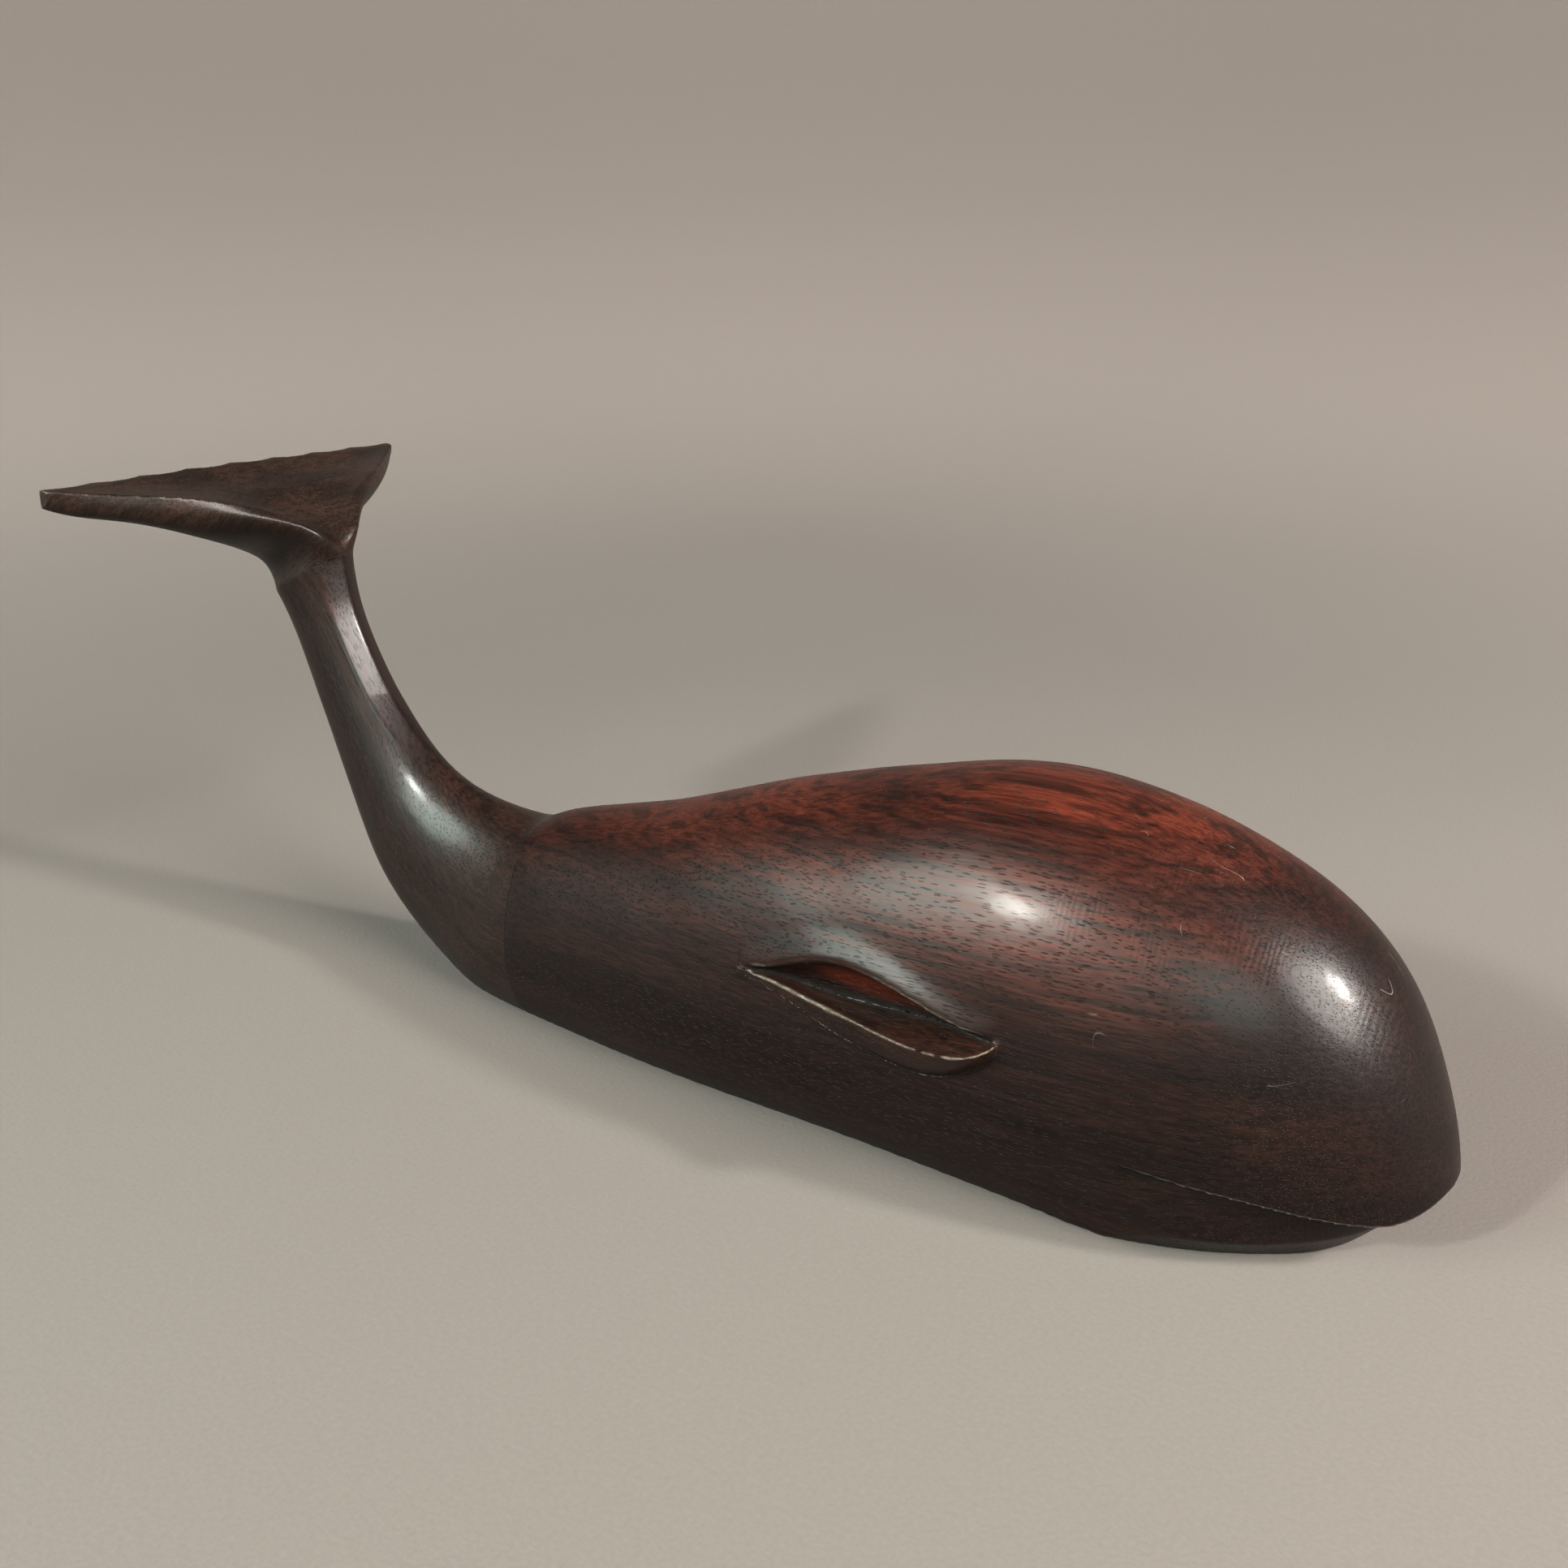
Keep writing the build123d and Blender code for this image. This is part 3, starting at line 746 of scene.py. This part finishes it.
# Side fins: two slips of the same rosewood. Each is let into the body by a tongue under the
# scooped hollow, glued, and then carved down to a thin edge.
FIN_COLOURS = [(0.0065, 0.0030, 0.0022), (0.0180, 0.0080, 0.0054),
               (0.0300, 0.0100, 0.0058), (0.0050, 0.0034, 0.0026)]
FIN_REDNESS = 0.3
FIN_GRAIN_TURN = (0, 0, 0.12)
FIN_GRAIN_SHIFT = (0.17, 0.33, 0.02)
fin_wood = rosewood("fin_rosewood", FIN_COLOURS, FIN_REDNESS, turn=FIN_GRAIN_TURN,
                    shift=FIN_GRAIN_SHIFT)
for fin in FINS:
    fin_mesh = cut(skin.copy(), fin_shape(fin), "INTERSECT")
    fitted("carved_" + fin, fin_mesh, fin_wood, "fin_wood", fin)

# Dowels: turned from a pale straight-grained hardwood, two across each end of the stock, glued
# into blind holes and hidden once the whale is together.
DOWEL_REPEATS = (60, 1800, 1800)    # a metre, along and across the grain
DOWEL_DARK = (0.42, 0.27, 0.15)
DOWEL_PALE = (0.58, 0.42, 0.27)
DOWEL_FLECK_EDGE = (0.35, 0.65)
DOWEL_ROUGHNESS = 0.6
dowel_wood = bpy.data.materials.new("dowel_beech")
dowel_wood.use_nodes = True
dowel_tree = dowel_wood.node_tree
dowel_shader = dowel_tree.nodes["Principled BSDF"]
dowel_place = add(dowel_tree, "TexCoord", {}).outputs["Object"]
flecks = noise(dowel_tree, dowel_place, DOWEL_REPEATS, 3.0)
dowel_colour = blend(dowel_tree, ramp(dowel_tree, flecks, *DOWEL_FLECK_EDGE), DOWEL_DARK, DOWEL_PALE)
dowel_bump = add(dowel_tree, "Bump", {"Height": flecks, "Distance": PORE_DEPTH, "Strength": 1.0})
dowel_tree.links.new(dowel_colour, dowel_shader.inputs["Base Color"])
dowel_tree.links.new(dowel_bump.outputs["Normal"], dowel_shader.inputs["Normal"])
dowel_shader.inputs["Roughness"].default_value = DOWEL_ROUGHNESS
for dowel in TAIL_DOWELS + FLUKE_DOWELS:
    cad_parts[dowel].data.materials.clear()
    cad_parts[dowel].data.materials.append(dowel_wood)

# Studio: a sheet of pale paper curved up into a wide bowl round the whale, so that it looks the
# same from every side. The paper hides nothing from below, where the rest face can be seen.
FLOOR_RADIUS = 0.8
FLOOR_GAP = 0.00005         # keeps the rest face off the paper
BOWL_REACH = 2.3
BOWL_HEIGHT = 1.05
CURVE_STEPS = 24
BOWL_STEPS = 96
bowl = bmesh.new()
profile = [bowl.verts.new((0, 0, -FLOOR_GAP)), bowl.verts.new((FLOOR_RADIUS, 0, -FLOOR_GAP))]
for step in range(1, CURVE_STEPS + 1):
    turn = math.pi / 2 * step / CURVE_STEPS
    out = FLOOR_RADIUS + BOWL_REACH * math.sin(turn)
    profile.append(bowl.verts.new((out, 0, BOWL_HEIGHT * (1 - math.cos(turn)) - FLOOR_GAP)))
edges = [bowl.edges.new(pair) for pair in zip(profile, profile[1:])]
bmesh.ops.spin(bowl, geom=profile + edges, cent=(0, 0, 0), axis=(0, 0, 1), angle=math.tau,
               steps=BOWL_STEPS, use_merge=True, use_duplicate=False)
bmesh.ops.remove_doubles(bowl, verts=bowl.verts, dist=MERGE_DISTANCE)
bmesh.ops.recalc_face_normals(bowl, faces=bowl.faces)
if bowl.faces[0].normal.z < 0:
    bmesh.ops.reverse_faces(bowl, faces=bowl.faces)
floor_mesh = bpy.data.meshes.new("studio_floor")
bowl.to_mesh(floor_mesh)
bowl.free()
floor_mesh.shade_smooth()
floor = placed("studio_floor", floor_mesh)

PAPER_REPEATS = (900, 900, 900)
PAPER_DARK = (0.119, 0.1020, 0.0935)
PAPER_PALE = (0.148, 0.1270, 0.1165)
PAPER_GRAIN = 0.0001
PAPER_ROUGHNESS = 0.9
paper = bpy.data.materials.new("pale_paper")
paper.use_nodes = True
paper_tree = paper.node_tree
paper_shader = paper_tree.nodes["Principled BSDF"]
paper_place = add(paper_tree, "TexCoord", {}).outputs["Object"]
paper_grain = noise(paper_tree, paper_place, PAPER_REPEATS, 3.0)
paper_colour = blend(paper_tree, paper_grain, PAPER_DARK, PAPER_PALE)
paper_bump = add(paper_tree, "Bump", {"Height": paper_grain, "Distance": PAPER_GRAIN})
from_below = add(paper_tree, "NewGeometry", {}).outputs["Backfacing"]
paper_tree.links.new(paper_colour, paper_shader.inputs["Base Color"])
paper_tree.links.new(paper_bump.outputs["Normal"], paper_shader.inputs["Normal"])
paper_tree.links.new(minus(paper_tree, 1.0, from_below), paper_shader.inputs["Alpha"])
paper_shader.inputs["Roughness"].default_value = PAPER_ROUGHNESS
floor.data.materials.append(paper)

# Light: small lamps high at the front left and at the right, wide soft ones like windows behind
# them, and a ring of lamps that turn their backs to the whale and light the paper.
WHALE_MIDDLE = (0.02, 0, 0.05)
WARM = (1.0, 0.97, 0.92)
NEUTRAL = (0.95, 1.0, 0.93)
COOL = (0.80, 1.0, 0.93)
LAMPS = [       # name, place, width, power in watts, colour
    ("front_lamp", (-0.42, -1.51, 0.99), 0.135, 34, NEUTRAL),
    ("right_lamp", (1.06, 0.12, 0.72), 0.13, 21, WARM),
    ("left_window", (-1.41, -2.03, 1.26), 1.4, 91, COOL),
    ("front_wall", (1.04, -2.12, 1.36), 1.25, 31, COOL),
    ("right_glow", (2.77, -0.63, 1.93), 1.95, 240, WARM),
]
WALL_LAMPS = 6
WALL_LAMP_RADIUS = 1.1
WALL_LAMP_HEIGHT = 1.5
WALL_LAMP_WIDTH = 1.0
WALL_LAMP_POWER = 46
WALL_RADIUS = 3.1
WALL_HEIGHT = 0.55


def lamp(name, place, aim, width, power, colour):
    data = bpy.data.lights.new(name, "AREA")
    data.shape = "DISK"
    data.size = width
    data.energy = power
    data.color = colour
    light = bpy.data.objects.new(name, data)
    light.location = place
    light.rotation_euler = (Vector(aim) - Vector(place)).to_track_quat("-Z", "Y").to_euler()
    bpy.context.scene.collection.objects.link(light)


for name, place, width, power, colour in LAMPS:
    lamp(name, place, WHALE_MIDDLE, width, power, colour)
for k in range(WALL_LAMPS):
    turn = math.tau * k / WALL_LAMPS
    here = (WALL_LAMP_RADIUS * math.cos(turn), WALL_LAMP_RADIUS * math.sin(turn), WALL_LAMP_HEIGHT)
    there = (WALL_RADIUS * math.cos(turn), WALL_RADIUS * math.sin(turn), WALL_HEIGHT)
    lamp(f"wall_lamp_{k}", here, there, WALL_LAMP_WIDTH, WALL_LAMP_POWER, WARM)

WORLD_LOW = (0.36, 0.325, 0.290)    # as bright as the paper at the rim of the bowl
WORLD_HIGH = (0.16, 0.156, 0.152)
CEILING_FADE = (0.28, 0.62)
VIEW_GAMMA = 0.86
VIEW_EXPOSURE = 0.03
world = bpy.data.worlds.new("room_light")
world.use_nodes = True
room = world.node_tree
room_height = split(room, add(room, "TexCoord", {}).outputs["Generated"])[2]
room_colour = blend(room, ramp(room, room_height, *CEILING_FADE), WORLD_LOW, WORLD_HIGH)
room.links.new(room_colour, room.nodes["Background"].inputs["Color"])
bpy.context.scene.world = world
view = bpy.context.scene.view_settings
view.view_transform = "Standard"
view.gamma = VIEW_GAMMA
view.exposure = VIEW_EXPOSURE

# Camera: a close view from above the whale's right side, with the head towards it, which makes
# the head large and the tail small.
SENSOR = 36.0
IMAGE_WIDTH = 1932
FOCAL_PIXELS = 1979
NEAREST = 0.01
CAMERA_PLACE = (0.2138, -0.3211, 0.2030)
CAMERA_AZIMUTH = math.radians(32)
CAMERA_DIP = math.radians(18.6)
lens = bpy.data.cameras.new("photo_camera")
lens.sensor_width = SENSOR
lens.lens = SENSOR * FOCAL_PIXELS / IMAGE_WIDTH
lens.clip_start = NEAREST
camera = bpy.data.objects.new("photo_camera", lens)
camera.location = CAMERA_PLACE
camera.rotation_euler = (math.pi / 2 - CAMERA_DIP, 0, CAMERA_AZIMUTH)
bpy.context.scene.collection.objects.link(camera)
bpy.context.scene.camera = camera
